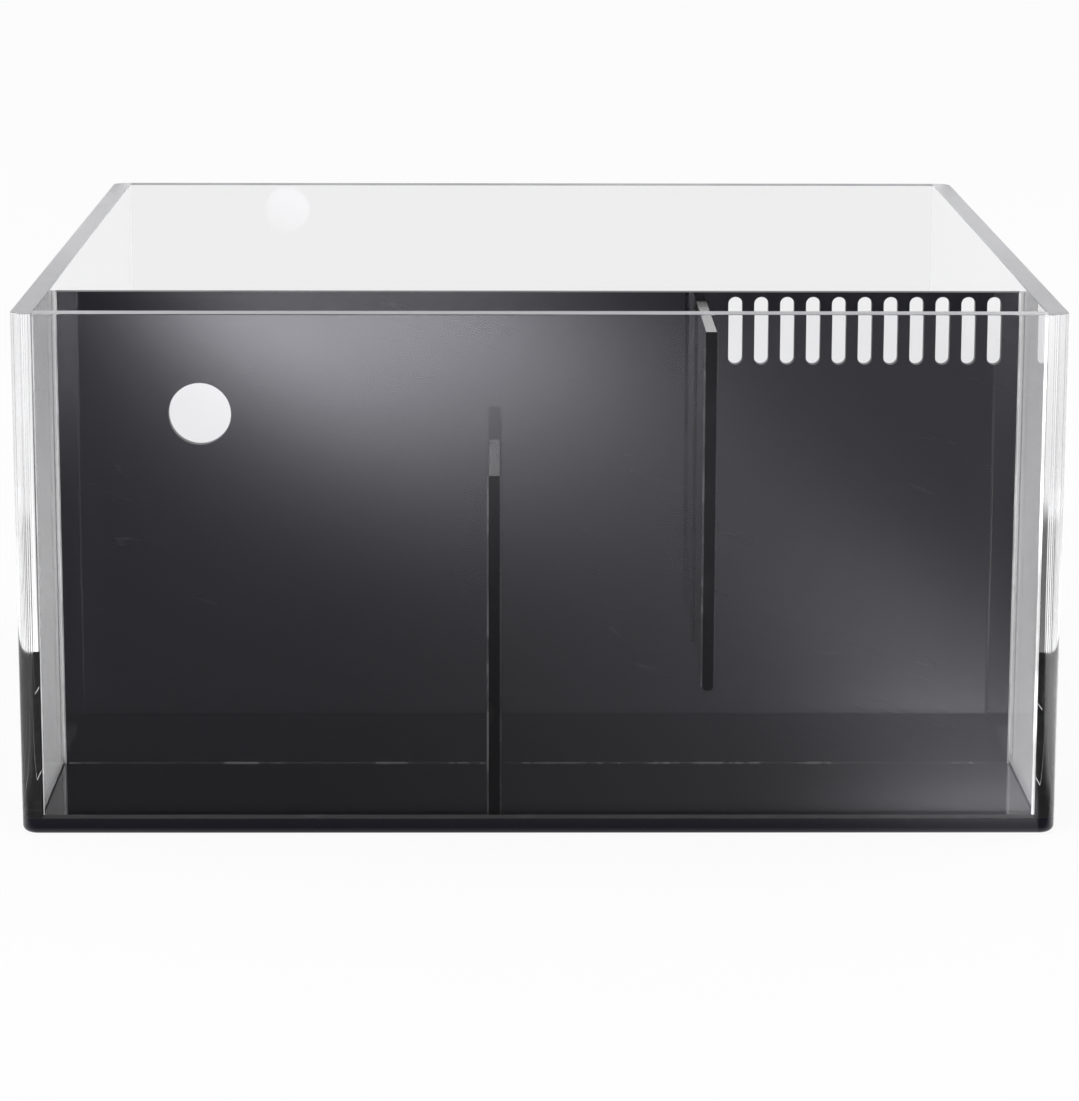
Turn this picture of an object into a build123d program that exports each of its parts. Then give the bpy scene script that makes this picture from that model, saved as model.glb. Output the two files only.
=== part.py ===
from build123d import *
import os

# Frag tank: an open, low acrylic aquarium with a filter chamber along its rear side.
# Millimetres. The origin is the middle of the underside. +Z is up, +X is to the right when
# looking at the rear panel, and +Y runs from the rear panel to the front (viewing) panel.

# Outer form
tank_length = 475.0
tank_depth = 500.0
wall_height = 233.5
wall_thick = 10.0
base_thick = 7.5
corner_radius = 8.0
base_edge_round = 3.0
rim_ease = 0.5

# Partition wall between the display basin and the filter chamber
chamber_depth = 91.0
partition_thick = 5.0
partition_drop = 4.7

# Overflow comb: closed slots in the partition, counted from the right side panel
slot_width = 6.7
slot_length = 31.8
slot_pitch = 12.24
slot_top_margin = 2.2
slot_side_margin = 12.0
slot_baffle_clear = 8.0

# Round hole in the partition for the return fitting
return_hole_diameter = 29.6
return_hole_from_side = 67.3
return_hole_below_top = 57.8

# Baffles that split the filter chamber
baffle_thick = 5.0
baffle_end_round = 2.0
inlet_baffle_from_side = 150.5
inlet_baffle_drop = 9.0
inlet_under_gap = 58.7
return_baffle_from_side = 206.9
return_baffle_drop = 74.8

# Cured cement beads in the inside corners. Each leg is the bead's width on one face.
partition_bead_leg = 1.8
baffle_bead_leg = 1.0
floor_bead_leg = 0.8
bead_hollow = 0.38

# Places that follow from the sizes
tank_height = base_thick + wall_height
inner_x = tank_length / 2 - wall_thick
rear_inner_y = wall_thick - tank_depth / 2
front_inner_y = tank_depth / 2 - wall_thick
partition_near_y = rear_inner_y + chamber_depth
partition_top_z = tank_height - partition_drop
inlet_baffle_x = inner_x - inlet_baffle_from_side
inlet_top_z = tank_height - inlet_baffle_drop
inlet_bottom_z = base_thick + inlet_under_gap
return_baffle_x = return_baffle_from_side - inner_x
return_top_z = tank_height - return_baffle_drop
return_hole_x = return_hole_from_side - inner_x
return_hole_z = partition_top_z - return_hole_below_top

# The comb fills the wall between the right side panel and the inlet baffle
last_slot_x = inner_x - slot_side_margin
comb_start_x = inlet_baffle_x + baffle_thick / 2 + slot_baffle_clear + slot_width / 2
slot_count = int((last_slot_x - comb_start_x) / slot_pitch) + 1
slot_z = partition_top_z - slot_top_margin - slot_length / 2

# Floor beads stop short of the upright beads in each corner
baffle_corner = max(baffle_bead_leg, floor_bead_leg)
partition_corner = max(partition_bead_leg, floor_bead_leg)


def outer_form():
    """Whole outside of the tank: rounded corners, eased rim, rounded lower edge."""
    outline = RectangleRounded(tank_length, tank_depth, corner_radius)
    form = extrude(outline, tank_height)
    form = chamfer(form.faces().sort_by(Axis.Z)[-1].edges(), rim_ease)
    lower_round = min(base_edge_round, base_thick - rim_ease)
    return fillet(form.faces().sort_by(Axis.Z)[0].edges(), lower_round)


def sheet(x_low, x_high, y_low, y_high, z_low, z_high):
    """Flat sheet sawn square between the given faces."""
    size = (x_high - x_low, y_high - y_low, z_high - z_low)
    middle = ((x_low + x_high) / 2, (y_low + y_high) / 2, (z_low + z_high) / 2)
    return Pos(*middle) * Box(*size)


def base_plate():
    """Black plate under all four walls, trimmed flush with them."""
    return outer_form() & sheet(
        -tank_length / 2, tank_length / 2, -tank_depth / 2, tank_depth / 2, 0, base_thick
    )


def side_panel(side):
    """Clear panel over the full depth. side is -1 on the left and 1 on the right."""
    x_faces = sorted((side * inner_x, side * tank_length / 2))
    return outer_form() & sheet(
        *x_faces, -tank_depth / 2, tank_depth / 2, base_thick, tank_height
    )


def end_panel(side):
    """Clear panel between the side panels. side is -1 at the rear and 1 at the front."""
    y_faces = sorted((side * front_inner_y, side * tank_depth / 2))
    return outer_form() & sheet(-inner_x, inner_x, *y_faces, base_thick, tank_height)


def upright(outline, y_low, y_high):
    """Sheet with an outline drawn in X and Z, between two faces along Y."""
    face = Pos(0, y_low, 0) * (Plane.XZ * outline)
    return extrude(face, amount=y_high - y_low, dir=(0, 1, 0))


def overflow_comb():
    """Round-ended slots, drawn in X and Z, that let water out of the display basin."""
    slot = SlotOverall(slot_length, slot_width, rotation=90)
    return [Pos(last_slot_x - n * slot_pitch, slot_z) * slot for n in range(slot_count)]


def partition_wall():
    """Black wall on the base plate, with the overflow comb and the return hole."""
    height = partition_top_z - base_thick
    outline = Pos(0, base_thick + height / 2) * Rectangle(2 * inner_x, height)
    outline -= overflow_comb()
    outline -= Pos(return_hole_x, return_hole_z) * Circle(return_hole_diameter / 2)
    return upright(outline, partition_near_y, partition_near_y + partition_thick)


def baffle(x_middle, z_low, z_high, end_round=0):
    """Black baffle across the chamber, its lower end rounded where it hangs free."""
    outline = Rectangle(baffle_thick, z_high - z_low)
    if end_round:
        lower_corners = outline.vertices().sort_by(Axis.Y)[:2]
        outline = fillet(lower_corners, min(end_round, 0.49 * baffle_thick))
    outline = Pos(x_middle, (z_low + z_high) / 2) * outline
    return upright(outline, rear_inner_y, partition_near_y)


def bead(corner, end, first_leg, second_leg, width):
    """Cement bead from corner to end, hollow towards the room, on two faces at right angles."""
    start = Vector(*corner)
    run = Vector(*end) - start
    along = run.normalized()
    leg = Vector(*first_leg)
    if along.cross(leg).dot(Vector(*second_leg)) < 0:
        leg = Vector(*second_leg)
    dip = bead_hollow * width
    section = make_face(
        [
            Line((0, 0), (width, 0)),
            ThreePointArc((width, 0), (dip, dip), (0, width)),
            Line((0, width), (0, 0)),
        ]
    )
    place = Plane(origin=start, x_dir=leg, z_dir=along)
    return extrude(place * section, amount=run.length, dir=along)


def partition_beads():
    """Beads on the chamber side of the partition: up both side panels and along the floor."""
    beads = {}
    y = partition_near_y
    for name, side in (("left", -1), ("right", 1)):
        wall_x = side * inner_x
        beads["partition_bead_" + name] = bead(
            (wall_x, y, base_thick),
            (wall_x, y, partition_top_z),
            (-side, 0, 0),
            (0, -1, 0),
            partition_bead_leg,
        )
        beads["partition_floor_bead_" + name] = bead(
            (return_baffle_x + side * (baffle_thick / 2 + baffle_corner), y, base_thick),
            (wall_x - side * partition_corner, y, base_thick),
            (0, -1, 0),
            (0, 0, 1),
            floor_bead_leg,
        )
    return beads


def baffle_beads(name, x_middle, z_low, z_high):
    """Upright beads at a baffle's rear and partition edges, on both of its faces."""
    beads = {}
    for side_name, side in (("left", -1), ("right", 1)):
        face_x = x_middle + side * baffle_thick / 2
        for edge_name, y, into in (("rear", rear_inner_y, 1), ("partition", partition_near_y, -1)):
            beads[f"{name}_bead_{edge_name}_{side_name}"] = bead(
                (face_x, y, z_low),
                (face_x, y, z_high),
                (side, 0, 0),
                (0, into, 0),
                baffle_bead_leg,
            )
    return beads


def return_floor_beads():
    """Beads along the foot of the standing baffle, between its upright beads."""
    beads = {}
    for side_name, side in (("left", -1), ("right", 1)):
        face_x = return_baffle_x + side * baffle_thick / 2
        beads["return_baffle_floor_bead_" + side_name] = bead(
            (face_x, rear_inner_y + baffle_corner, base_thick),
            (face_x, partition_near_y - baffle_corner, base_thick),
            (side, 0, 0),
            (0, 0, 1),
            floor_bead_leg,
        )
    return beads


def tank():
    """Every piece of the tank by name."""
    pieces = {
        "base_plate": base_plate(),
        "left_side_panel": side_panel(-1),
        "right_side_panel": side_panel(1),
        "rear_panel": end_panel(-1),
        "front_panel": end_panel(1),
        "partition_wall": partition_wall(),
        "inlet_baffle": baffle(inlet_baffle_x, inlet_bottom_z, inlet_top_z, baffle_end_round),
        "return_baffle": baffle(return_baffle_x, base_thick, return_top_z),
    }
    pieces.update(partition_beads())
    bead_start_z = inlet_bottom_z + baffle_end_round
    pieces.update(baffle_beads("inlet_baffle", inlet_baffle_x, bead_start_z, inlet_top_z))
    pieces.update(baffle_beads("return_baffle", return_baffle_x, base_thick, return_top_z))
    pieces.update(return_floor_beads())
    return pieces


os.makedirs("parts", exist_ok=True)
for piece_name, piece in tank().items():
    solids = piece.solids()
    export_step(solids[0] if len(solids) == 1 else piece, f"parts/{piece_name}.step")
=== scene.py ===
"""Looks of the frag tank: refined sheets, cement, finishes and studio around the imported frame."""

import logging
import math
from collections.abc import Callable, Sequence
from dataclasses import dataclass
from enum import Enum, IntEnum

import bmesh
import bpy
from mathutils import Matrix, Quaternion, Vector, noise

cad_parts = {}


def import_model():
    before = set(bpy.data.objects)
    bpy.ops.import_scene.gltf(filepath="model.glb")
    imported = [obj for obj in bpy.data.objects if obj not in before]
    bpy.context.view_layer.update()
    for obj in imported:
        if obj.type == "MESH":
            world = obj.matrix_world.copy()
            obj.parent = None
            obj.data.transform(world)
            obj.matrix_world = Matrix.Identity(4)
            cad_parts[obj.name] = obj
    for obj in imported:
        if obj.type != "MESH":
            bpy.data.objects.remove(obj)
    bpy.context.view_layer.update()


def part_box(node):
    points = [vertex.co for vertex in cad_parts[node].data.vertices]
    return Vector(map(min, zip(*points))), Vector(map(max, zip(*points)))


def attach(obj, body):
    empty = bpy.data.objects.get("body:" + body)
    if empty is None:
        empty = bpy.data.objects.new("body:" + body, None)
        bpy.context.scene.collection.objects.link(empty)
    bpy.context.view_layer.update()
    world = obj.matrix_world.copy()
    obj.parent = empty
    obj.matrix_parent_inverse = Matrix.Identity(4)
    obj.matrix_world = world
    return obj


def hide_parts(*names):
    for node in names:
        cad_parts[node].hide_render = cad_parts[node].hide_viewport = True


LOG = logging.getLogger("frag_tank")

BODY = "root"

# Optical contact of a cemented joint: one sheet sinks this far into the other, in metres
CONTACT = 0.00005
# Places closer than NEAR lie on the same face, and points closer than MERGE are one, in metres
NEAR = 1e-5
MERGE = 1e-7
# Least coordinate of a unit vector that lies along an axis, and of a normal that looks up
ALIGNED = 0.99
UPWARD = 0.5
SHARP_FROM = math.radians(50.0)
ACRYLIC_IOR = 1.49
# A Mix node's colours go by number, because its other types use the same names
MIX_INPUTS = (0, 6, 7)
MIX_OUTPUT = 2

Span = tuple[float, float]
Triple = tuple[float, float, float]
# Radius in metres, and facets
Rounding = tuple[float, int]
Piece = bpy.types.Object
Test = Callable[[Vector, Vector], bool]
Operator = Callable[["Signal", "Signal | float"], "Signal"]


class Slot(Enum):
    """Material slots of the record."""

    CLEAR = "clear_acrylic"
    BLACK = "black_acrylic"
    CEMENT = "cement"


class Axis(IntEnum):
    """Coordinate of a vector."""

    X = 0
    Y = 1
    Z = 2


class Side(Enum):
    """Side of the tank, seen from the chamber."""

    LEFT = "left"
    RIGHT = "right"

    @property
    def sign(self) -> float:
        """Sign of X on this side."""
        return 1.0 if self is Side.RIGHT else -1.0


def operators(operation: str) -> tuple[Operator, Operator]:
    """Makes an operator of Signal and its reflected form.

    Args:
        operation: Type of the Math node.

    Returns:
        The two methods.
    """

    def direct(this: "Signal", other: "Signal | float") -> "Signal":
        """Applies the operation with this value first."""
        return this.maths(operation, this, other)

    def reflected(this: "Signal", other: "Signal | float") -> "Signal":
        """Applies the operation with this value second."""
        return this.maths(operation, other, this)

    return direct, reflected


class Signal:
    """Value, vector or colour on its way through the nodes of one material."""

    def __init__(self, bench: "NodeBench", socket: bpy.types.NodeSocket | None) -> None:
        """Wraps an output of the bench's node tree."""
        self.bench = bench
        self.socket = socket

    def maths(self, operation: str, *values: "Signal | float") -> "Signal":
        """Adds one Math node and gives its result."""
        inputs = dict(enumerate(values))
        return self.bench.node("ShaderNodeMath", {"operation": operation}, inputs)

    __add__, __radd__ = operators("ADD")
    __sub__, __rsub__ = operators("SUBTRACT")
    __mul__, __rmul__ = operators("MULTIPLY")
    __truediv__, __rtruediv__ = operators("DIVIDE")
    __pow__, __rpow__ = operators("POWER")
    # Each of these is the other's reflected form, and gives one where it holds, else nought
    __gt__, __lt__ = operators("GREATER_THAN")

    def __neg__(self) -> "Signal":
        """Opposite value."""
        return self * -1.0

    def size(self) -> "Signal":
        """Value without its sign."""
        return self.maths("ABSOLUTE", self)

    def at_least(self, other: "Signal | float") -> "Signal":
        """Greater of two values."""
        return self.maths("MAXIMUM", self, other)

    def rise(self, low: float, high: float) -> "Signal":
        """Smooth step from nought at low to one at high."""
        inputs = {"Value": self, "From Min": low, "From Max": high}
        return self.bench.node("ShaderNodeMapRange", {"interpolation_type": "SMOOTHSTEP"}, inputs)

    def fall(self, low: float, high: float) -> "Signal":
        """Smooth step from one at low to nought at high."""
        return 1.0 - self.rise(low, high)


Colour = Signal | Sequence[float] | float


def rgba(colour: Colour) -> Signal | tuple[float, ...]:
    """Gives a grey level or three values as a socket takes them, and a signal as it is."""
    values = (colour, colour, colour) if isinstance(colour, float) else colour
    return colour if isinstance(colour, Signal) else (*values, 1.0)


class NodeBench:
    """Builds the nodes of one material or of the world."""

    # Weight of finer octaves, and the solid share of a speck's radius and a hairline's width
    GRAIN = 0.55
    SPECK_CORE = 0.5
    HAIRLINE_CORE = 0.3

    def __init__(self, tree: bpy.types.NodeTree) -> None:
        """Empties the node tree of a material or world and works on it."""
        self.tree = tree
        tree.nodes.clear()

    def node(
        self,
        kind: str,
        settings: dict[str, object] | None = None,
        inputs: dict[int | str, object] | None = None,
        output: int | str = 0,
    ) -> Signal:
        """Adds a node.

        Args:
            kind: Type of the node.
            settings: Attributes, set before the inputs.
            inputs: Values or signals by the name or number of the socket.
            output: Name or number of the socket that carries the result.

        Returns:
            The result of the node, which is empty for an output node.
        """
        made = self.tree.nodes.new(kind)
        for name, value in (settings or {}).items():
            setattr(made, name, value)
        for name, value in (inputs or {}).items():
            if isinstance(value, Signal):
                self.tree.links.new(value.socket, made.inputs[name])
            else:
                made.inputs[name].default_value = value
        return Signal(self, made.outputs[output] if made.outputs else None)

    def place(self) -> Signal:
        """Place on the piece, in metres."""
        return self.node("ShaderNodeTexCoord", output="Object")

    def part(self, axis: Axis, vector: Signal) -> Signal:
        """One coordinate of a vector."""
        return self.node("ShaderNodeSeparateXYZ", inputs={0: vector}, output=axis)

    def ray(self, fact: str) -> Signal:
        """What the Light Path node says of the ray."""
        return self.node("ShaderNodeLightPath", output=fact)

    def cloud(self, spot: Signal, scale: float, detail: float) -> Signal:
        """Noise about one half, its scale in features per metre and its detail in octaves."""
        inputs = {"Vector": spot, "Scale": scale, "Detail": detail, "Roughness": self.GRAIN}
        return self.node("ShaderNodeTexNoise", inputs=inputs)

    def specks(self, spot: Signal, scale: float, radius: float, share: float) -> Signal:
        """Sparse round specks.

        Args:
            spot: Place to read.
            scale: Cells per metre.
            radius: Radius of a speck, in cells.
            share: Share of the cells that hold one.

        Returns:
            One inside a speck, else nought.
        """
        inputs = {"Vector": spot, "Scale": scale}
        distance = self.node("ShaderNodeTexVoronoi", inputs=inputs, output="Distance")
        tint = self.node("ShaderNodeTexVoronoi", inputs=inputs, output="Color")
        pick = self.node("ShaderNodeSeparateColor", inputs={0: tint})
        return distance.fall(self.SPECK_CORE * radius, radius) * (pick < share)

    def hairlines(self, scale: float, stretch: float, turn: float, thin: float) -> Signal:
        """Long thin marks in one direction of the X and Z plane.

        Args:
            scale: Marks per metre.
            stretch: Length of a mark over its spacing.
            turn: Direction in radians.
            thin: Share of the noise's range that counts as a mark.

        Returns:
            One on a mark, else nought.
        """
        turned = {"Rotation": (0.0, turn, 0.0), "Scale": (stretch, 1.0, 1.0)}
        inputs = {"Vector": self.place(), **turned}
        spot = self.node("ShaderNodeMapping", {"vector_type": "TEXTURE"}, inputs)
        line = self.cloud(spot, scale, 1.0)
        return (line - 0.5).size().fall(self.HAIRLINE_CORE * thin, thin)

    def mix_colour(self, share: Signal | float, first: Colour, second: Colour) -> Signal:
        """Blend of two colours by the share of the second."""
        inputs = dict(zip(MIX_INPUTS, (share, rgba(first), rgba(second))))
        return self.node("ShaderNodeMix", {"data_type": "RGBA"}, inputs, MIX_OUTPUT)

    def bump(self, height: Signal, distance: float) -> Signal:
        """Normal of a relief from nought to one, whose one is a distance in metres high."""
        return self.node("ShaderNodeBump", inputs={"Distance": distance, "Height": height})

    def principled(self, **inputs: object) -> Signal:
        """Principled shader. Underscores in the names stand for spaces."""
        named = {name.replace("_", " "): value for name, value in inputs.items()}
        return self.node("ShaderNodeBsdfPrincipled", inputs=named)

    def emission(self, colour: Colour) -> Signal:
        """Emission shader of strength one."""
        return self.node("ShaderNodeEmission", inputs={"Color": rgba(colour), "Strength": 1.0})

    def mix_shader(self, share: Signal | float, first: Signal, second: Signal) -> Signal:
        """Blend of two shaders by the share of the second."""
        return self.node("ShaderNodeMixShader", inputs={0: share, 1: first, 2: second})


@dataclass(frozen=True)
class Finish:
    """Surface finish of a piece. Each kind says how its nodes are made."""

    name: str

    def lay(self, bench: NodeBench) -> Signal:
        """Makes the nodes and gives the shader of the surface."""
        raise NotImplementedError

    def material(self) -> bpy.types.Material:
        """Gives the material, which is made at the first call.

        Returns:
            The material, shared by every piece with this finish.
        """
        known = bpy.data.materials.get(self.name)
        if known:
            return known
        made = bpy.data.materials.new(self.name)
        made.use_nodes = True
        bench = NodeBench(made.node_tree)
        bench.node("ShaderNodeOutputMaterial", inputs={"Surface": self.lay(bench)})
        return made


@dataclass(frozen=True)
class ClearAcrylic(Finish):
    """Cast clear sheet: sharp, faintly wavy, a little hazy in patches."""

    tint: Triple = (0.985, 0.985, 0.990)
    index: float = ACRYLIC_IOR
    roughness: float = 0.004
    haze: float = 0.012
    patches_per_metre: float = 9.0
    patch_edge: Span = (0.55, 0.70)
    waves_per_metre: float = 7.0
    wave_height: float = 0.00004

    def lay(self, bench: NodeBench) -> Signal:
        """Makes the nodes of the clear sheet.

        Args:
            bench: Where the nodes go.

        Returns:
            The shader of the surface.
        """
        spot = bench.place()
        wave = bench.cloud(spot, self.waves_per_metre, 1.0)
        cover = bench.cloud(spot, self.patches_per_metre, 2.0).rise(*self.patch_edge)
        return bench.principled(
            Base_Color=rgba(self.tint),
            Roughness=self.roughness + self.haze * cover,
            IOR=self.index,
            Transmission_Weight=1.0,
            Normal=bench.bump(wave, self.wave_height),
        )


@dataclass(frozen=True)
class SawnEdge(Finish):
    """Edge of a clear sheet, sawn and scraped: satin, half milky, with marks across it."""

    milk: float = 0.45
    milk_swing: float = 0.35
    level: float = 0.62
    blue: float = 1.06
    contrast: float = 0.12
    clear_level: float = 0.95
    roughness: float = 0.42
    roughness_swing: float = 0.25
    milky_roughness: float = 0.45
    milky_swing: float = 0.2
    marks_per_metre: float = 900.0
    patches_per_metre: float = 30.0
    mark_depth: float = 0.00004

    def lay(self, bench: NodeBench) -> Signal:
        """Makes the nodes of the sawn edge.

        Args:
            bench: Where the nodes go.

        Returns:
            The shader of the surface.
        """
        spot = bench.place()
        fine = bench.cloud(spot, self.marks_per_metre, 2.0)
        broad = bench.cloud(spot, self.patches_per_metre, 3.0)
        relief = bench.bump(fine, self.mark_depth)
        clear = bench.principled(
            Base_Color=rgba(self.clear_level),
            Roughness=self.roughness + self.roughness_swing * (broad - 0.5),
            IOR=ACRYLIC_IOR,
            Transmission_Weight=1.0,
            Normal=relief,
        )
        cool = Vector((self.level, self.level, self.blue * self.level))
        tone = bench.mix_colour(fine, (1.0 - self.contrast) * cool, (1.0 + self.contrast) * cool)
        milky = bench.principled(
            Base_Color=tone,
            Roughness=self.milky_roughness + self.milky_swing * broad,
            IOR=ACRYLIC_IOR,
            Normal=relief,
        )
        return bench.mix_shader(self.milk + self.milk_swing * (broad - 0.5), clear, milky)


@dataclass(frozen=True)
class PolishedBlack(Finish):
    """Polished black sheet: mirror-like, with wiping marks, dust and a faint cast wave."""

    colour: Triple = (0.0100, 0.0095, 0.0135)
    roughness: float = 0.02
    dust: float = 0.05
    dust_level: float = 0.35
    marks_per_metre: float = 70.0
    mark_stretch: float = 18.0
    mark_turn: float = 0.35
    mark_width: float = 0.004
    mark_roughness: float = 0.04
    wipes_per_metre: float = 8.0
    wipe_edge: Span = (0.56, 0.72)
    wipe_roughness: float = 0.015
    motes_per_metre: float = 120.0
    mote_radius: float = 0.05
    mote_share: float = 0.05
    mote_weight: float = 4.0
    mote_roughness: float = 0.3
    waves_per_metre: float = 6.0
    wave_height: float = 0.0001

    def lay(self, bench: NodeBench) -> Signal:
        """Makes the nodes of the polished black sheet.

        Args:
            bench: Where the nodes go.

        Returns:
            The shader of the surface.
        """
        spot = bench.place()
        sizes = (self.marks_per_metre, self.mark_stretch, self.mark_turn, self.mark_width)
        marks = bench.hairlines(*sizes)
        cover = bench.cloud(spot, self.wipes_per_metre, 2.0).rise(*self.wipe_edge)
        worn = marks * cover
        motes = bench.specks(spot, self.motes_per_metre, self.mote_radius, self.mote_share)
        dusty = motes * (self.dust * self.mote_weight) + worn * self.dust
        wave = bench.cloud(spot, self.waves_per_metre, 1.0)
        wiped = self.roughness + self.wipe_roughness * cover + self.mark_roughness * worn
        return bench.principled(
            Base_Color=bench.mix_colour(dusty, self.colour, self.dust_level),
            Roughness=wiped + self.mote_roughness * motes,
            IOR=ACRYLIC_IOR,
            Normal=bench.bump(wave, self.wave_height),
        )


@dataclass(frozen=True)
class SawnBlack(Finish):
    """Sawn edge of a black sheet: satin dark grey with fine marks."""

    level: float = 0.05
    contrast: float = 0.4
    contrast_edge: Span = (0.3, 0.7)
    roughness: float = 0.45
    roughness_swing: float = 0.2
    marks_per_metre: float = 1100.0
    patches_per_metre: float = 40.0
    mark_depth: float = 0.00003

    def lay(self, bench: NodeBench) -> Signal:
        """Makes the nodes of the sawn black edge.

        Args:
            bench: Where the nodes go.

        Returns:
            The shader of the surface.
        """
        spot = bench.place()
        fine = bench.cloud(spot, self.marks_per_metre, 2.0)
        broad = bench.cloud(spot, self.patches_per_metre, 3.0)
        dark = (1.0 - self.contrast) * self.level
        light = (1.0 + self.contrast) * self.level
        return bench.principled(
            Base_Color=bench.mix_colour(fine.rise(*self.contrast_edge), dark, light),
            Roughness=self.roughness + self.roughness_swing * (broad - 0.5),
            IOR=ACRYLIC_IOR,
            Normal=bench.bump(fine, self.mark_depth),
        )


@dataclass(frozen=True)
class BondedBlack(Finish):
    """Black face cemented to clear sheet: no gloss, with patches where the cement missed."""

    level: float = 0.003
    patch_level: float = 0.015
    roughness: float = 0.8
    patches_per_metre: float = 45.0
    patch_edge: Span = (0.58, 0.66)
    patch_weight: float = 0.5
    bubbles_per_metre: float = 420.0
    bubble_radius: float = 0.3
    bubble_share: float = 0.12
    bubble_weight: float = 0.6

    def lay(self, bench: NodeBench) -> Signal:
        """Makes the nodes of the cemented face.

        Args:
            bench: Where the nodes go.

        Returns:
            The shader of the surface.
        """
        spot = bench.place()
        patches = bench.cloud(spot, self.patches_per_metre, 4.0).rise(*self.patch_edge)
        sizes = (self.bubbles_per_metre, self.bubble_radius, self.bubble_share)
        bubbles = bench.specks(spot, *sizes)
        share = patches * self.patch_weight + bubbles * self.bubble_weight
        tone = bench.mix_colour(share, self.level, self.patch_level)
        return bench.principled(Base_Color=tone, Roughness=self.roughness, Specular_IOR_Level=0.0)


@dataclass(frozen=True)
class CuredCement(Finish):
    """Cured cement in a corner: cloudy, satin, brighter where it ran thick.

    Its emission paints a glow that stands in for light the clear sheets lead in.
    """

    level: float = 0.62
    thin_level: float = 0.7
    thin: float = 0.35
    # Strength of the emission that paints a glow on the cement
    painted_glow: float = 0.0
    runs_per_metre: float = 60.0
    run_edge: Span = (0.42, 0.62)
    run_height: float = 0.0002
    roughness: float = 0.25
    roughness_swing: float = 0.3

    def lay(self, bench: NodeBench) -> Signal:
        """Makes the nodes of the cement.

        Args:
            bench: Where the nodes go.

        Returns:
            The shader of the surface.
        """
        runs = bench.cloud(bench.place(), self.runs_per_metre, 3.0)
        thick = runs.rise(*self.run_edge)
        tone = bench.mix_colour(thick, self.thin_level * self.level, self.level)
        return bench.principled(
            Base_Color=tone,
            Roughness=self.roughness + self.roughness_swing * runs,
            IOR=ACRYLIC_IOR,
            Alpha=self.thin + (1.0 - self.thin) * thick,
            # Painted glow: emission in the cement's own tone
            Emission_Color=tone,
            Emission_Strength=self.painted_glow,
            Normal=bench.bump(runs, self.run_height),
        )


@dataclass(frozen=True)
class Finishes:
    """Every finish of the tank."""

    clear: Finish = ClearAcrylic("cast_clear_sheet")
    viewing: Finish = ClearAcrylic("cast_viewing_sheet", tint=(0.880, 0.880, 0.888), index=1.30)
    corner: Finish = ClearAcrylic("polished_corner", haze=0.03, roughness=0.06)
    sawn: Finish = SawnEdge("sawn_clear_edge")
    # The front panel's top: a darker, milkier copy of the sawn edge, its darkness painted shade
    shaded_viewing_edge: Finish = SawnEdge("sawn_viewing_edge", milk=0.85, level=0.26, roughness=0.60)
    black: Finish = PolishedBlack("polished_black_sheet")
    # Darker copy of the polished black for the tank's floor: painted shade
    shaded_black_floor: Finish = PolishedBlack(
        "polished_black_floor", colour=(0.0030, 0.0028, 0.0042), dust=0.03
    )
    sawn_black: Finish = SawnBlack("sawn_black_edge")
    # Baffle tops: planed smoother, and painted lighter for the light that falls on them
    lighter_planed_black: Finish = SawnBlack("planed_black_edge", level=0.16, roughness=0.24)
    bonded: Finish = BondedBlack("bonded_black")
    # Lighter copies of the bonded black for the walls' seats: painted light, as seen through the
    # clear sheets
    lighter_wall_seat: Finish = BondedBlack("bonded_wall_seat", level=0.050, patch_level=0.085)
    rear_seat: Finish = BondedBlack("bonded_rear_seat", level=0.160, patch_level=0.210)
    # Copies of one cement whose levels paint light and shade; this one, by clear sheet, painted
    # bright with a painted glow
    cement: Finish = CuredCement(
        "cured_cement", level=0.80, thin=0.92, runs_per_metre=40.0, painted_glow=0.22
    )
    # Brightest copy, with a strong painted glow, for the rear panel's corners
    corner_cement: Finish = CuredCement(
        "cured_corner_cement", level=0.85, thin=0.95, runs_per_metre=30.0, painted_glow=0.8
    )
    # Lighter copy that paints a faint light line along the baffles' left rear joints
    light_line_cement: Finish = CuredCement("cured_edge_cement", level=0.12, thin=0.35)
    # Dark copy: painted shade between black sheets
    shaded_cement: Finish = CuredCement("cured_dark_cement", level=0.02, thin=0.25)
    # Darker copy: painted shade on the tank's floor
    shaded_floor_cement: Finish = CuredCement(
        "cured_floor_cement", level=0.13, thin=0.30, runs_per_metre=70.0
    )


@dataclass
class Extent:
    """Box between two corners, in metres."""

    low: Vector
    high: Vector

    @classmethod
    def of_node(cls, node: str) -> "Extent":
        """Box of a node of the frame."""
        return cls(*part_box(node))

    def centre(self) -> Vector:
        """Middle of the box."""
        return (self.low + self.high) / 2

    def size(self) -> Vector:
        """Length along each axis."""
        return self.high - self.low

    def on_top(self, spot: Vector) -> bool:
        """Says whether a place lies on the top."""
        return spot.z > self.high.z - NEAR

    def on_foot(self, spot: Vector) -> bool:
        """Says whether a place lies on the underside."""
        return spot.z < self.low.z + NEAR

    def grown(self, axis: Axis, by: float, ends: Sequence[float] = (-1.0, 1.0)) -> "Extent":
        """Copy made longer at one or both ends.

        Args:
            axis: The axis to grow along.
            by: How far, in metres.
            ends: -1 for the low end, 1 for the high end.

        Returns:
            The longer box.
        """
        low = self.low.copy()
        high = self.high.copy()
        if -1.0 in ends:
            low[axis] -= by
        if 1.0 in ends:
            high[axis] += by
        return Extent(low, high)


def lies_along(axis: Axis, direction: Vector) -> bool:
    """Says whether an edge's direction or a face's normal lies along an axis."""
    return abs(direction[axis]) > ALIGNED


def looks_up(_: Vector, normal: Vector) -> bool:
    """Says whether a face looks up."""
    return normal.z > UPWARD


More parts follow.
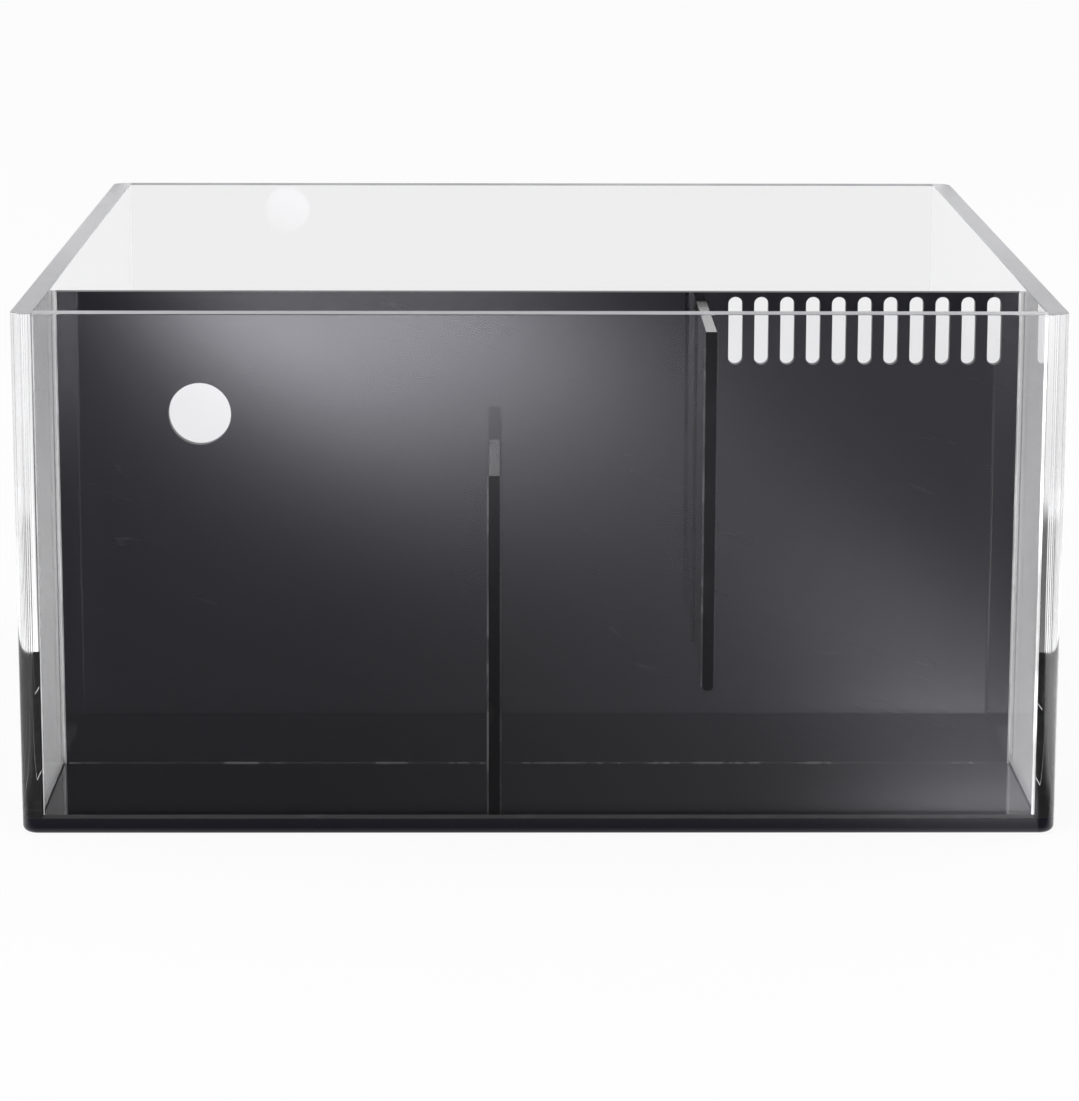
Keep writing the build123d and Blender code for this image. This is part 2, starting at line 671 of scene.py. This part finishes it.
def link(name: str, data: bpy.types.ID) -> Piece:
    """Puts a new object in the scene.

    Args:
        name: Name of the object.
        data: Its mesh, camera or lamp.

    Returns:
        The object.
    """
    made = bpy.data.objects.new(name, data)
    bpy.context.scene.collection.objects.link(made)
    return made


def store(name: str, shape: bmesh.types.BMesh) -> bpy.types.Mesh:
    """Turns a working mesh into a stored one and frees it.

    Args:
        name: Name of the stored mesh.
        shape: The working mesh.

    Returns:
        The stored mesh.
    """
    data = bpy.data.meshes.new(name)
    shape.to_mesh(data)
    shape.free()
    return data


class Workpiece:
    """Sheet or bead on its way from a block to a finished piece."""

    EASE_FACETS = 2
    EASE_FROM = math.radians(40.0)
    FLAT_WEIGHT = 100

    def __init__(self, extent: Extent, finish: Finish) -> None:
        """Starts from a block.

        Args:
            extent: The block's box.
            finish: Finish of every face that isn't painted.
        """
        self.finishes = [finish]
        self.mesh = bmesh.new()
        bmesh.ops.create_cube(self.mesh, size=1.0)
        bmesh.ops.scale(self.mesh, vec=extent.size(), verts=self.mesh.verts)
        bmesh.ops.translate(self.mesh, vec=extent.centre(), verts=self.mesh.verts)

    def round_edges(self, test: Test, radius: float, facets: int, profile: float = 0.5) -> None:
        """Rounds the edges that a test picks.

        Args:
            test: Takes an edge's middle and direction, and says whether it is rounded.
            radius: Radius of the rounding, in metres.
            facets: How many facets it gets.
            profile: Half for an arc, less for a hollow.
        """
        picked = []
        for edge in self.mesh.edges:
            first, second = (vert.co for vert in edge.verts)
            if test((first + second) / 2, (second - first).normalized()):
                picked.append(edge)
        how = {"offset_type": "OFFSET", "affect": "EDGES", "material": -1, "clamp_overlap": True}
        bmesh.ops.bevel(
            self.mesh, geom=picked, offset=radius, segments=facets, profile=profile, **how
        )

    def score(self, axis: Axis, place: float) -> None:
        """Cuts the faces along a plane and keeps both sides.

        Args:
            axis: Axis across the plane.
            place: Where the plane crosses it, in metres.
        """
        normal = Vector((0.0, 0.0, 0.0))
        normal[axis] = 1.0
        geometry = [*self.mesh.verts, *self.mesh.edges, *self.mesh.faces]
        bmesh.ops.bisect_plane(
            self.mesh, geom=geometry, dist=MERGE, plane_co=normal * place, plane_no=normal
        )

    def join(self, other: "Workpiece") -> None:
        """Takes in another workpiece.

        Args:
            other: What is taken in, which is used up.
        """
        data = store("joined", other.mesh)
        self.mesh.from_mesh(data)
        bpy.data.meshes.remove(data)

    def subtract(self, cutter: "Workpiece") -> None:
        """Cuts another workpiece away.

        Args:
            cutter: What is cut away, which is used up.
        """
        bmesh.ops.recalc_face_normals(cutter.mesh, faces=cutter.mesh.faces)
        block = link("block", store("block", self.mesh))
        tool = link("cutter", store("cutter", cutter.mesh))
        cut = block.modifiers.new("cut", "BOOLEAN")
        cut.operation = "DIFFERENCE"
        cut.solver = "EXACT"
        cut.object = tool
        graph = bpy.context.evaluated_depsgraph_get()
        data = bpy.data.meshes.new_from_object(block.evaluated_get(graph))
        self.mesh = bmesh.new()
        self.mesh.from_mesh(data)
        bmesh.ops.remove_doubles(self.mesh, verts=self.mesh.verts, dist=MERGE)
        for spare in (block, tool):
            bpy.data.meshes.remove(spare.data)
        bpy.data.meshes.remove(data)

    def paint(self, test: Test, finish: Finish) -> None:
        """Gives faces another finish.

        Args:
            test: Takes a face's middle and normal, and says whether it gets the finish.
            finish: The finish.
        """
        self.mesh.normal_update()
        for face in self.mesh.faces:
            if test(face.calc_center_median(), face.normal):
                face.material_index = len(self.finishes)
        self.finishes.append(finish)

    def close(self, name: str, ease: float = 0.0) -> Piece:
        """Turns the workpiece into an object, smooth apart from its sharp edges.

        Args:
            name: Name of the piece.
            ease: Width by which the sharp edges are eased, in metres.

        Returns:
            The object, linked to the scene.
        """
        bmesh.ops.recalc_face_normals(self.mesh, faces=self.mesh.faces)
        for face in self.mesh.faces:
            face.smooth = True
        for edge in self.mesh.edges:
            edge.smooth = edge.calc_face_angle(math.pi) < SHARP_FROM
        made = link(name, store(name, self.mesh))
        for finish in self.finishes:
            made.data.materials.append(finish.material())
        if ease:
            bevel = made.modifiers.new("ease", "BEVEL")
            bevel.width = ease
            bevel.segments = self.EASE_FACETS
            bevel.limit_method = "ANGLE"
            bevel.angle_limit = self.EASE_FROM
        shade = made.modifiers.new("true_flats", "WEIGHTED_NORMAL")
        shade.mode = "FACE_AREA"
        shade.weight = self.FLAT_WEIGHT
        shade.keep_sharp = True
        return made


def seat(piece: Piece, slot: Slot, *nodes: str) -> Piece:
    """Puts a piece on the tank in place of nodes of the frame.

    Args:
        piece: The finished piece.
        slot: The record's material slot, which is not used.
        nodes: Nodes that the piece stands for, or none for a detail of the looks.

    Returns:
        The piece.
    """
    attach(piece, BODY)
    if nodes:
        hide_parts(*nodes)
    return piece


@dataclass
class BasePlate:
    """Black plate under the four walls."""

    finishes: Finishes
    wall: float = 0.010
    corner: Rounding = (0.008, 14)
    lower_edge: Rounding = (0.003, 6)
    upper_edge: Rounding = (0.0002, 3)

    def build(self, extent: Extent) -> Workpiece:
        """Makes the plate with its rounded corners and the walls' seat marked out.

        Args:
            extent: Box of the plate.

        Returns:
            The plate.
        """
        # The top takes a darker copy of the polished black: painted shade
        plate = Workpiece(extent, self.finishes.shaded_black_floor)
        plate.round_edges(lambda _, way: lies_along(Axis.Z, way), *self.corner)
        plate.round_edges(lambda spot, _: extent.on_foot(spot), *self.lower_edge)
        plate.round_edges(lambda spot, _: extent.on_top(spot), *self.upper_edge)
        for axis in (Axis.X, Axis.Y):
            plate.score(axis, extent.low[axis] + self.wall)
            plate.score(axis, extent.high[axis] - self.wall)
        return plate

    def dress(self) -> list[Piece]:
        """Gives the plate its finishes and seats it.

        Returns:
            The piece.
        """
        extent = Extent.of_node("base_plate")
        reach = extent.high - Vector((self.wall, self.wall, 0.0))
        look = self.finishes

        def under_wall(spot: Vector, normal: Vector) -> bool:
            """Says whether a face lies under a wall."""
            outside = abs(spot.x) > reach.x or abs(spot.y) > reach.y
            return looks_up(spot, normal) and outside and extent.on_top(spot)

        def under_rear(spot: Vector, normal: Vector) -> bool:
            """Says whether a face lies under the rear panel."""
            return under_wall(spot, normal) and spot.y < -reach.y and abs(spot.x) < reach.x

        plate = self.build(extent)
        # The seats take lighter copies of the bonded black: painted light
        plate.paint(under_wall, look.lighter_wall_seat)
        plate.paint(under_rear, look.rear_seat)
        plate.paint(lambda spot, _: not extent.on_top(spot), look.black)
        return [seat(plate.close("base_plate_sheet"), Slot.BLACK, "base_plate")]


@dataclass
class ClearWalls:
    """Two side panels over the full depth and two end panels between them."""

    finishes: Finishes
    corner: Rounding = (0.008, 32)
    rim: Rounding = (0.0005, 2)
    # Greatest coordinate of a normal in a rounded corner
    corner_turn: float = 0.999

    def in_corner(self, _: Vector, normal: Vector) -> bool:
        """Says whether a face belongs to a rounded corner."""
        turned = max(abs(normal.x), abs(normal.y)) < self.corner_turn
        return turned and abs(normal.z) < 1.0 - ALIGNED

    def side_panel(self, side: Side) -> Piece:
        """Makes one side panel.

        Args:
            side: The panel's side.

        Returns:
            The panel.
        """
        node = f"{side.value}_side_panel"
        extent = Extent.of_node(node)
        outer_x = extent.high.x if side is Side.RIGHT else extent.low.x
        look = self.finishes
        panel = Workpiece(extent.grown(Axis.Z, CONTACT, (-1.0,)), look.clear)
        panel.round_edges(
            lambda spot, way: lies_along(Axis.Z, way) and abs(spot.x - outer_x) < NEAR,
            *self.corner,
        )
        panel.round_edges(lambda spot, _: extent.on_top(spot), *self.rim)
        panel.paint(looks_up, look.sawn)
        panel.paint(self.in_corner, look.corner)
        return seat(panel.close(f"{side.value}_side_sheet"), Slot.CLEAR, node)

    def end_panel(self, name: str, sheet: Finish, edge: Finish) -> Piece:
        """Makes one end panel.

        Args:
            name: First word of the panel's node.
            sheet: Finish of its faces.
            edge: Finish of its top.

        Returns:
            The panel.
        """
        extent = Extent.of_node(f"{name}_panel")
        grown = extent.grown(Axis.Z, CONTACT, (-1.0,)).grown(Axis.X, CONTACT)
        panel = Workpiece(grown, sheet)
        panel.round_edges(
            lambda spot, way: extent.on_top(spot) and lies_along(Axis.X, way), *self.rim
        )
        panel.paint(looks_up, edge)
        return seat(panel.close(f"{name}_sheet"), Slot.CLEAR, f"{name}_panel")

    def dress(self) -> list[Piece]:
        """Makes and seats the four panels.

        Returns:
            The panels.
        """
        look = self.finishes
        return [
            *(self.side_panel(side) for side in Side),
            self.end_panel("rear", look.clear, look.sawn),
            # The front panel's top takes a darker copy of the sawn edge: painted shade
            self.end_panel("front", look.viewing, look.shaded_viewing_edge),
        ]


@dataclass
class Partition:
    """Black wall between basin and chamber, with the overflow comb and the return hole."""

    finishes: Finishes
    slot_count: int = 11
    slot_width: float = 0.0067
    slot_length: float = 0.0318
    slot_pitch: float = 0.01224
    slot_top_margin: float = 0.0022
    slot_side_margin: float = 0.012
    # Just under a half, so that the rounded corners of a slot's end don't meet
    slot_round_share: float = 0.4999
    slot_facets: int = 12
    hole_diameter: float = 0.0296
    hole_from_side: float = 0.0673
    hole_below_top: float = 0.0578
    hole_facets: int = 96
    edge_ease: float = 0.0003

    def slot(self, extent: Extent, number: int) -> Workpiece:
        """Makes the cutter of one slot.

        Args:
            extent: Box of the wall.
            number: Number of the slot, from the right side panel.

        Returns:
            The cutter, which stands out on both sides of the wall.
        """
        x = extent.high.x - self.slot_side_margin - number * self.slot_pitch
        top = extent.high.z - self.slot_top_margin
        half = self.slot_width / 2
        low = Vector((x - half, extent.low.y - self.slot_width, top - self.slot_length))
        high = Vector((x + half, extent.high.y + self.slot_width, top))
        cutter = Workpiece(Extent(low, high), self.finishes.sawn_black)
        radius = self.slot_round_share * self.slot_width
        cutter.round_edges(lambda _, way: lies_along(Axis.Y, way), radius, self.slot_facets)
        return cutter

    def cutters(self, extent: Extent) -> Workpiece:
        """Makes the cutters of the comb and of the return hole.

        Args:
            extent: Box of the wall.

        Returns:
            Every cutter in one.
        """
        merged = self.slot(extent, 0)
        for number in range(1, self.slot_count):
            merged.join(self.slot(extent, number))
        hole_x = extent.low.x + self.hole_from_side
        hole_z = extent.high.z - self.hole_below_top
        place = Matrix.Translation((hole_x, extent.centre().y, hole_z))
        radius = self.hole_diameter / 2
        bmesh.ops.create_cone(
            merged.mesh,
            cap_ends=True,
            segments=self.hole_facets,
            radius1=radius,
            radius2=radius,
            depth=extent.size().y + 2 * self.slot_width,
            matrix=place @ Matrix.Rotation(math.pi / 2, 4, "X"),
        )
        return merged

    def dress(self) -> list[Piece]:
        """Cuts the wall, eases its edges and seats it.

        Returns:
            The wall.
        """
        extent = Extent.of_node("partition_wall")
        look = self.finishes

        def cut_face(_: Vector, normal: Vector) -> bool:
            """Says whether a face is a sawn one."""
            return not lies_along(Axis.Y, normal)

        def cemented(spot: Vector, normal: Vector) -> bool:
            """Says whether a face is cemented to another sheet."""
            outer = abs(spot.x) > extent.high.x - NEAR or extent.on_foot(spot)
            return cut_face(spot, normal) and outer

        grown = extent.grown(Axis.X, CONTACT).grown(Axis.Z, CONTACT, (-1.0,))
        wall = Workpiece(grown, look.black)
        wall.subtract(self.cutters(extent))
        wall.paint(cut_face, look.sawn_black)
        wall.paint(cemented, look.bonded)
        piece = wall.close("partition_sheet", self.edge_ease)
        return [seat(piece, Slot.BLACK, "partition_wall")]


@dataclass
class Baffle:
    """Black sheet across the chamber."""

    finishes: Finishes
    node: str
    hangs: bool
    hanging_end: Rounding = (0.002, 6)
    top_edge: Rounding = (0.0003, 2)

    def dress(self) -> list[Piece]:
        """Makes and seats the baffle.

        Returns:
            The baffle.
        """
        extent = Extent.of_node(self.node)
        grown = extent.grown(Axis.Y, CONTACT)
        if not self.hangs:
            grown = grown.grown(Axis.Z, CONTACT, (-1.0,))
        look = self.finishes
        sheet = Workpiece(grown, look.black)
        if self.hangs:
            sheet.round_edges(
                lambda spot, way: extent.on_foot(spot) and lies_along(Axis.Y, way),
                *self.hanging_end,
            )
        sheet.round_edges(
            lambda spot, way: extent.on_top(spot) and lies_along(Axis.Y, way), *self.top_edge
        )
        # Tops take a lighter copy of the sawn black: painted light on them
        sheet.paint(looks_up, look.lighter_planed_black)
        sheet.paint(lambda _, normal: lies_along(Axis.Y, normal), look.bonded)
        return [seat(sheet.close(f"{self.node}_sheet"), Slot.BLACK, self.node)]


@dataclass
class CementBeads:
    """Cured cement in the inside corners of the chamber."""

    finishes: Finishes
    step: float = 0.004
    unevenness: float = 0.22
    lumps_per_metre: float = 90.0
    hollow_profile: float = 0.16
    hollow_share: float = 0.97
    hollow_facets: int = 5
    # Share of the width by which the edge on the open side at least lies off the middle
    open_from: float = 0.45
    slim: float = 0.35
    below_rim: float = 0.002
    corner_legs: Span = (0.0002, 0.0008)

    def nodes(self) -> dict[str, Span]:
        """Names the beads.

        Returns:
            Each node with its signs towards the open side, in the two axes across the bead.
        """
        found = {}
        for side in Side:
            found[f"partition_bead_{side.value}"] = (-side.sign, -1.0)
            found[f"partition_floor_bead_{side.value}"] = (-1.0, 1.0)
            found[f"return_baffle_floor_bead_{side.value}"] = (side.sign, 1.0)
            for baffle in ("inlet_baffle", "return_baffle"):
                found[f"{baffle}_bead_rear_{side.value}"] = (side.sign, 1.0)
                found[f"{baffle}_bead_partition_{side.value}"] = (side.sign, -1.0)
        return found

    def bead(self, node: str, open_ways: Span) -> Piece:
        """Makes the bead of a node, slimmer at the ends of the partition.

        Args:
            node: The bead's node.
            open_ways: Signs towards the open side, in the two axes across the bead.

        Returns:
            The bead.
        """
        extent = Extent.of_node(node)
        size = extent.size()
        run = max(Axis, key=lambda axis: size[axis])
        if node.startswith("partition_bead"):
            across = (axis for axis in Axis if axis != run)
            for axis, sign in zip(across, open_ways):
                extent = extent.grown(axis, -(1.0 - self.slim) * size[axis], (sign,))
        name = node.replace("_bead", "_cement")
        piece = self.shape(name, extent, run, open_ways, self.finish(node))
        return seat(piece, Slot.CEMENT, node)

    def shape(
        self, name: str, extent: Extent, run: Axis, open_ways: Span, finish: Finish
    ) -> Piece:
        """Makes an uneven, hollow bead in a box.

        Args:
            name: Name of the piece.
            extent: The bead's box, square across its run.
            run: Axis that the bead runs along.
            open_ways: Signs towards the open side, in the two axes across the bead.
            finish: Finish of the cement.

        Returns:
            The bead.
        """
        size = extent.size()
        across = [axis for axis in Axis if axis != run]
        width = size[across[0]]
        centre = extent.centre()
        made = Workpiece(extent, finish)

        def on_open_corner(spot: Vector, way: Vector) -> bool:
            """Says whether an edge is the one on the open side."""
            reach = (sign * (spot[axis] - centre[axis]) for axis, sign in zip(across, open_ways))
            return lies_along(run, way) and min(reach) > self.open_from * width

        made.round_edges(
            on_open_corner, self.hollow_share * width, self.hollow_facets, self.hollow_profile
        )
        for number in range(1, int(size[run] / self.step)):
            made.score(run, extent.low[run] + number * self.step)
        corner = centre.copy()
        for axis, sign in zip(across, open_ways):
            corner[axis] -= sign * width / 2
        for vert in made.mesh.verts:
            offset = vert.co - corner
            offset[run] = 0.0
            lump = 0.5 + 0.5 * noise.noise(vert.co * self.lumps_per_metre)
            vert.co -= offset * (self.unevenness * lump)
        return made.close(name)

    def corner_bead(self, side: Side, leg: float) -> Piece:
        """Makes the thin line of cement up a corner of the rear panel, painted bright with a
        painted glow.

        Args:
            side: The corner's side.
            leg: Width of the line, in metres.

        Returns:
            The bead.
        """
        rear = Extent.of_node("rear_panel")
        seam = Vector((side.sign * rear.high.x, rear.high.y, rear.low.z))
        far = seam + Vector((-side.sign * leg, leg, rear.size().z - self.below_rim))
        extent = Extent(Vector(map(min, seam, far)), Vector(map(max, seam, far)))
        name = f"rear_corner_cement_{side.value}"
        look = self.finishes.corner_cement
        return seat(self.shape(name, extent, Axis.Z, (-side.sign, 1.0), look), Slot.CEMENT)

    def finish(self, node: str) -> Finish:
        """Picks a bead's finish, whose level paints light or shade: bright with a painted glow by
        clear sheet, dark between black sheets.

        Args:
            node: The bead's node.

        Returns:
            The finish.
        """
        # Darker copy on the floor: painted shade
        if "floor" in node:
            return self.finishes.shaded_floor_cement
        # Lighter copy: a painted light line
        if node.endswith("baffle_bead_rear_left"):
            return self.finishes.light_line_cement
        # Dark copy: painted shade
        if "baffle" in node:
            return self.finishes.shaded_cement
        # Bright copy with a painted glow
        return self.finishes.cement

    def dress(self) -> list[Piece]:
        """Makes and seats every bead.

        Returns:
            The beads.
        """
        beads = [self.bead(node, ways) for node, ways in self.nodes().items()]
        corners = [self.corner_bead(side, leg) for side, leg in zip(Side, self.corner_legs)]
        return beads + corners


@dataclass(frozen=True)
class Glow:
    """Soft pool of light on the table, for the polished sheets to mirror."""

    strength: float
    sideways: float
    distance: float
    width: float
    length: float
    lean: float = 0.0

    def level(self, sideways: Signal, distance: Signal) -> Signal:
        """Brightness by place.

        Args:
            sideways: X on the table, in metres.
            distance: Distance in front of the tank, in metres.

        Returns:
            What the pool adds to the table's brightness.
        """
        ahead = distance - self.distance
        offset = sideways - self.sideways - self.lean * ahead
        spread = (offset / self.width) ** 2.0 + (ahead / self.length) ** 2.0
        return self.strength * (math.e ** -spread)


@dataclass(frozen=True)
class TableTop(Finish):
    """Plain pale table, painted for the sheets to mirror: dim in front, with soft pools of light
    and painted shade of the tank, else bright.

    Spans are in metres: from the tank's middle sideways and behind, from its front ahead.
    """

    matt_level: float = 0.9
    white: float = 0.90
    left: float = 0.17
    right: float = 0.29
    left_to_right: Span = (-0.12, 0.12)
    behind: float = 0.85
    beyond: float = 1.0
    beyond_from: Span = (0.8, 1.6)
    beside: float = 0.95
    beside_from: Span = (0.03, 0.10)
    beside_lean: float = 0.15
    front_edge: Span = (-0.01, 0.01)
    tint: Triple = (1.015, 1.0, 1.09)
    # Painted contact shadow of the tank on the table in front, and the distances over which it
    # fades
    foot: float = 0.7
    foot_reach: Span = (0.01, 0.05)
    # Painted shadow of the right side panel: a wedge past a line that leans out from its joint
    joint_start: float = 0.2287
    joint_lean: float = 0.1253
    joint_width: float = 0.002
    joint_shadow_level: float = 0.60
    joint_reach: Span = (0.5, 1.1)
    guide_bounces: int = 4
    guide_shade: float = 0.82
    guide_left: Span = (0.07, 0.11)
    guide_right: Span = (0.235, 0.245)
    guide_near: float = 0.01
    guide_far: Span = (0.60, 0.72)
    brightest: float = 8.0
    # Painted pools of light in front of the tank, then beside and behind it
    glows: tuple[Glow, ...] = (
        Glow(1.75, -0.265, 1.63, 0.080, 0.53, -0.21),
        Glow(2.40, -0.110, 1.56, 0.155, 0.64, -0.09),
        Glow(1.15, 0.290, -0.40, 0.082, 0.77, -0.107),
        Glow(1.10, 0.215, 0.00, 0.060, 0.09),
    )
    side_glows: tuple[Glow, ...] = (
        Glow(1.50, -0.300, -0.60, 0.060, 0.50, 0.125),
        Glow(0.90, 0.310, -0.70, 0.060, 0.40, -0.125),
        Glow(3.00, 0.500, 0.10, 0.200, 0.40),
    )

    def lay(self, bench: NodeBench) -> Signal:
        """Makes the nodes of the table, which keeps a soft shadow.

        Args:
            bench: Where the nodes go.

        Returns:
            The shader of the surface.
        """
        matt = bench.node("ShaderNodeBsdfDiffuse", inputs={"Color": rgba(self.matt_level)})
        level, in_front = self.level(bench)
        cool = self.brightest * Vector(self.tint)
        tone = bench.mix_colour(in_front, self.brightest, cool)
        shade = bench.mix_colour(level * (1.0 / self.brightest), 0.0, tone)
        shade = bench.mix_colour(bench.ray("Glossy Depth") > 0.5, 1.0, shade)
        seen = bench.mix_shader(self.white, matt, bench.emission(1.0))
        other = bench.mix_shader(bench.ray("Is Diffuse Ray"), bench.emission(shade), matt)
        return bench.mix_shader(bench.ray("Is Camera Ray"), other, seen)

    def level(self, bench: NodeBench) -> tuple[Signal, Signal]:
        """Painted brightness of the table as the clear and the polished sheets show it, pools of
        light and shade of the tank included.

        Args:
            bench: The table's nodes.

        Returns:
            The brightness, and the share of the place that lies in front.
        """
        half = Extent.of_node("base_plate").high
        x, y = (bench.part(axis, bench.place()) for axis in (Axis.X, Axis.Y))
        distance = (-y) - half.y
        ahead = distance.at_least(0.0)
        spread = x.size() - self.beside_lean * ahead
        beside = spread.rise(*(half.x + reach for reach in self.beside_from))
        behind = self.behind + (self.beyond - self.behind) * y.rise(*self.beyond_from)
        around = beside * self.beside + (1.0 - beside) * behind
        for glow in self.side_glows:
            around = around + glow.level(x, distance)
        front = self.left + (self.right - self.left) * x.rise(*self.left_to_right)
        for glow in self.glows:
            front = front + glow.level(x, distance)
        # Painted shadow of the right side panel past its joint line, dark near the tank
        joint = x - self.joint_lean * ahead - self.joint_start
        past = joint.rise(0.0, self.joint_width)
        front = front * (1.0 - past) + self.joint_shadow_level * past * distance.rise(*self.joint_reach)
        # Painted contact shadow of the tank along its front foot
        front = front * (1.0 - self.foot * distance.fall(*self.foot_reach))
        # A ray that a side panel has led through its thickness finds shade behind the tank
        bounces = bench.ray("Glossy Depth")
        led = (bounces > self.guide_bounces - 0.5) * (bounces < self.guide_bounces + 0.5)
        across = x.rise(*self.guide_left) * x.fall(*self.guide_right)
        depth = y.fall(*self.guide_far) * y.rise(half.y, half.y + self.guide_near)
        around = around * (1.0 - self.guide_shade * led * across * depth)
        share = distance.rise(*self.front_edge) * (1.0 - beside)
        return share * front + (1.0 - share) * around, share


@dataclass(frozen=True)
class Lamp:
    """Soft square lamp that points at the tank."""

    name: str
    place: Triple
    watts: float
    size: float = 1.2

    def hang(self) -> None:
        """Puts the lamp in the scene, out of sight of polished and clear sheets."""
        data = bpy.data.lights.new(self.name, "AREA")
        data.size = self.size
        data.energy = self.watts
        made = link(self.name, data)
        made.location = self.place
        made.rotation_mode = "QUATERNION"
        made.rotation_quaternion = (-Vector(self.place)).to_track_quat("-Z", "Y")
        made.visible_glossy = False
        made.visible_transmission = False


@dataclass
class Studio:
    """Floor, surround, lamps and camera."""

    picture_long_side: float = 1101.0
    focal_pixels: float = 3974.8
    sensor: float = 36.0
    camera_place: Triple = (-0.0169, -2.0079, 0.5058)
    pitch: float = math.radians(11.968)
    yaw: float = math.radians(0.547)
    roll: float = math.radians(0.134)
    floor_size: float = 24.0
    table: Finish = TableTop("pale_floor")
    dark_room: float = 0.75
    dark_from: Span = (0.3, 0.8)
    matt_dim: float = 0.25
    lamps: tuple[Lamp, ...] = (
        Lamp("key_lamp", (-0.7, -0.9, 1.7), 9.0),
        Lamp("fill_lamp", (0.9, 0.5, 1.6), 5.0),
    )
    bounce_limits: tuple[tuple[str, int], ...] = (
        ("max_bounces", 56),
        ("glossy_bounces", 40),
        ("transmission_bounces", 20),
        ("transparent_max_bounces", 16),
    )

    def camera(self) -> None:
        """Makes the camera."""
        data = bpy.data.cameras.new("camera")
        data.sensor_width = self.sensor
        data.lens = self.focal_pixels / self.picture_long_side * self.sensor
        made = link("camera", data)
        level = math.cos(self.pitch)
        x, y = math.sin(self.yaw) * level, math.cos(self.yaw) * level
        ahead = Vector((x, y, -math.sin(self.pitch))).to_track_quat("-Z", "Y")
        made.location = self.camera_place
        made.rotation_mode = "QUATERNION"
        made.rotation_quaternion = ahead @ Quaternion((0.0, 0.0, 1.0), self.roll)
        bpy.context.scene.camera = made

    def floor(self) -> None:
        """Makes the plain pale floor."""
        shape = bmesh.new()
        bmesh.ops.create_grid(shape, x_segments=1, y_segments=1, size=self.floor_size / 2)
        made = link("floor", store("floor", shape))
        made.data.materials.append(self.table.material())

    def surround(self) -> None:
        """Makes the world: white, weaker for matt surfaces, and a dim room ahead in reflections."""
        world = bpy.data.worlds.new("surround")
        bpy.context.scene.world = world
        world.use_nodes = True
        bench = NodeBench(world.node_tree)
        reflected = bench.ray("Glossy Depth") > 0.5
        way = bench.node("ShaderNodeTexCoord", output="Generated")
        dark = self.dark_room * (-bench.part(Axis.Y, way)).rise(*self.dark_from)
        level = 1.0 - self.matt_dim * bench.ray("Is Diffuse Ray") - reflected * dark
        glow = bench.node("ShaderNodeBackground", inputs={"Color": level, "Strength": 1.0})
        bench.node("ShaderNodeOutputWorld", inputs={"Surface": glow})

    def set_up(self) -> None:
        """Builds the whole studio."""
        scene = bpy.context.scene
        scene.view_settings.view_transform = "Standard"
        for name, limit in self.bounce_limits:
            setattr(scene.cycles, name, limit)
        self.camera()
        self.floor()
        self.surround()
        for lamp in self.lamps:
            lamp.hang()


def main() -> None:
    """Builds the tank's looks around the frame, piece by piece."""
    logging.basicConfig(level=logging.INFO, format="%(message)s")
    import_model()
    Studio().set_up()
    finishes = Finishes()
    assemblies = (
        BasePlate(finishes),
        ClearWalls(finishes),
        Partition(finishes),
        Baffle(finishes, "inlet_baffle", hangs=True),
        Baffle(finishes, "return_baffle", hangs=False),
        CementBeads(finishes),
    )
    for assembly in assemblies:
        for piece in assembly.dress():
            LOG.info("%s: %d faces", piece.name, len(piece.data.polygons))


if __name__ == "__main__":
    main()
